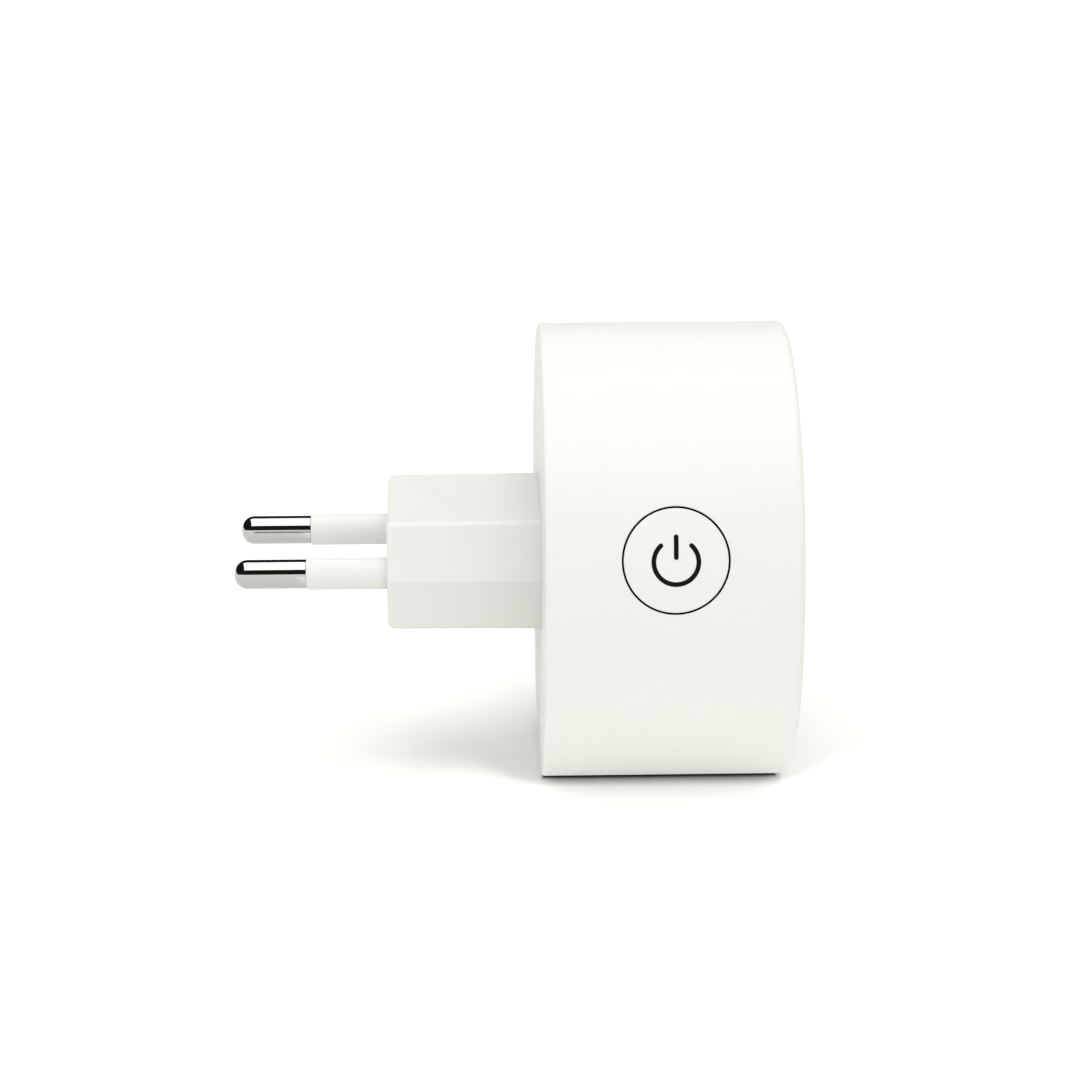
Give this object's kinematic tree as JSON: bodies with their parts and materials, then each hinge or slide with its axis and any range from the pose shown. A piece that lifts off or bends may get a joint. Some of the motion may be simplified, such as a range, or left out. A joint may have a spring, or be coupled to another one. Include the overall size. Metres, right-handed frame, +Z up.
{
  "type": "smart plug",
  "caption": "Round white smart plug with a flush power button in its side, a recessed outlet in front, and a six-sided boss carrying two round pins.",
  "frame": {"origin": "centre of the body's back face, on the line midway between the two pins", "axes": "+X out of the outlet, away from the wall, with the pins pointing to -X; +Z up, with the foot at the lowest point; the power button is in the side wall towards -Y, raised 16.6 degrees above the plane of the pins"},
  "size_m": [0.0758, 0.063, 0.0627],
  "materials": {
    "white_plastic": "fine satin moulding",
    "button_plastic": "fine satin moulding",
    "icon_black": "satin print",
    "insert_plastic": "satin moulding",
    "nickel": "polished",
    "brass_strip": "stamped",
    "copper": "plain copper",
    "screw_steel": "zinc plated",
    "soft_iron": "plain",
    "board_green": "solder resist",
    "relay_blue": "moulded",
    "dark_plastic": "moulded",
    "ferrite": "sintered",
    "tape_yellow": "polyester tape",
    "capacitor_sleeve": "shrink sleeve",
    "varistor_coat": "epoxy dip",
    "resistor_coat": "lacquer",
    "shield_steel": "tinned sheet",
    "led_resin": "clear resin"
  },
  "bodies": {
    "housing": {"rear_housing": "white_plastic", "plug_boss": "white_plastic", "front_cover": "white_plastic", "outlet_insert": "insert_plastic", "contact_carrier": "insert_plastic", "carrier_screws": "screw_steel", "shutter_spring": "screw_steel", "live_pin": "nickel", "neutral_pin": "nickel", "live_sleeve": "white_plastic", "neutral_sleeve": "white_plastic", "live_lead": "copper", "neutral_lead": "copper", "live_contact": "brass_strip", "neutral_contact": "brass_strip", "main_board": "board_green", "board_screws": "screw_steel", "relay_case": "relay_blue", "relay_base": "dark_plastic", "relay_bobbin": "insert_plastic", "relay_winding": "copper", "relay_yoke": "soft_iron", "relay_contact": "brass_strip", "transformer_core": "ferrite", "transformer_winding": "tape_yellow", "bulk_capacitor_1": "capacitor_sleeve", "bulk_capacitor_2": "capacitor_sleeve", "output_capacitor": "capacitor_sleeve", "varistor": "varistor_coat", "fuse_resistor": "resistor_coat", "bridge_rectifier": "dark_plastic", "current_shunt": "copper", "board_chips": "dark_plastic", "radio_board": "board_green", "shield_can": "shield_steel", "antenna_trace": "brass_strip", "button_board": "board_green", "switch_case": "dark_plastic", "switch_dome": "screw_steel", "status_led": "led_resin"},
    "button": {"power_button": "button_plastic", "button_icon": "icon_black"},
    "plunger": {"switch_plunger": "dark_plastic"},
    "shutter": {"shutter": "insert_plastic"},
    "armature": {"relay_armature": "soft_iron"}
  },
  "joints": [
    {"name": "button_press", "type": "slide", "parent": "housing", "child": "button", "axis": [0, 0.9622, -0.2723], "range_m": [0, 0.0004], "stiffness_N_per_m": 4000, "springref_m": -0.00005},
    {"name": "plunger_press", "type": "slide", "parent": "housing", "child": "plunger", "axis": [0, 0.9622, -0.2723], "range_m": [0, 0.0004], "deforming": ["switch_dome"]},
    {"name": "shutter_turn", "type": "hinge", "parent": "housing", "child": "shutter", "pos_m": [0.0157, 0, 0], "axis": [1, 0, 0], "range_deg": [0, 38], "stiffness_Nm_per_rad": 0.004, "springref_deg": -20.05, "deforming": ["shutter_spring"]},
    {"name": "armature_tip", "type": "hinge", "parent": "housing", "child": "armature", "pos_m": [0.0087, 0.0006, 0.0182], "axis": [1, 0, 0], "range_deg": [0, 3.5], "stiffness_Nm_per_rad": 0.002, "springref_deg": -5.73}
  ],
  "couplings": [
    {"joint": "plunger_press", "follows": "button_press", "ratio": 1}
  ]
}
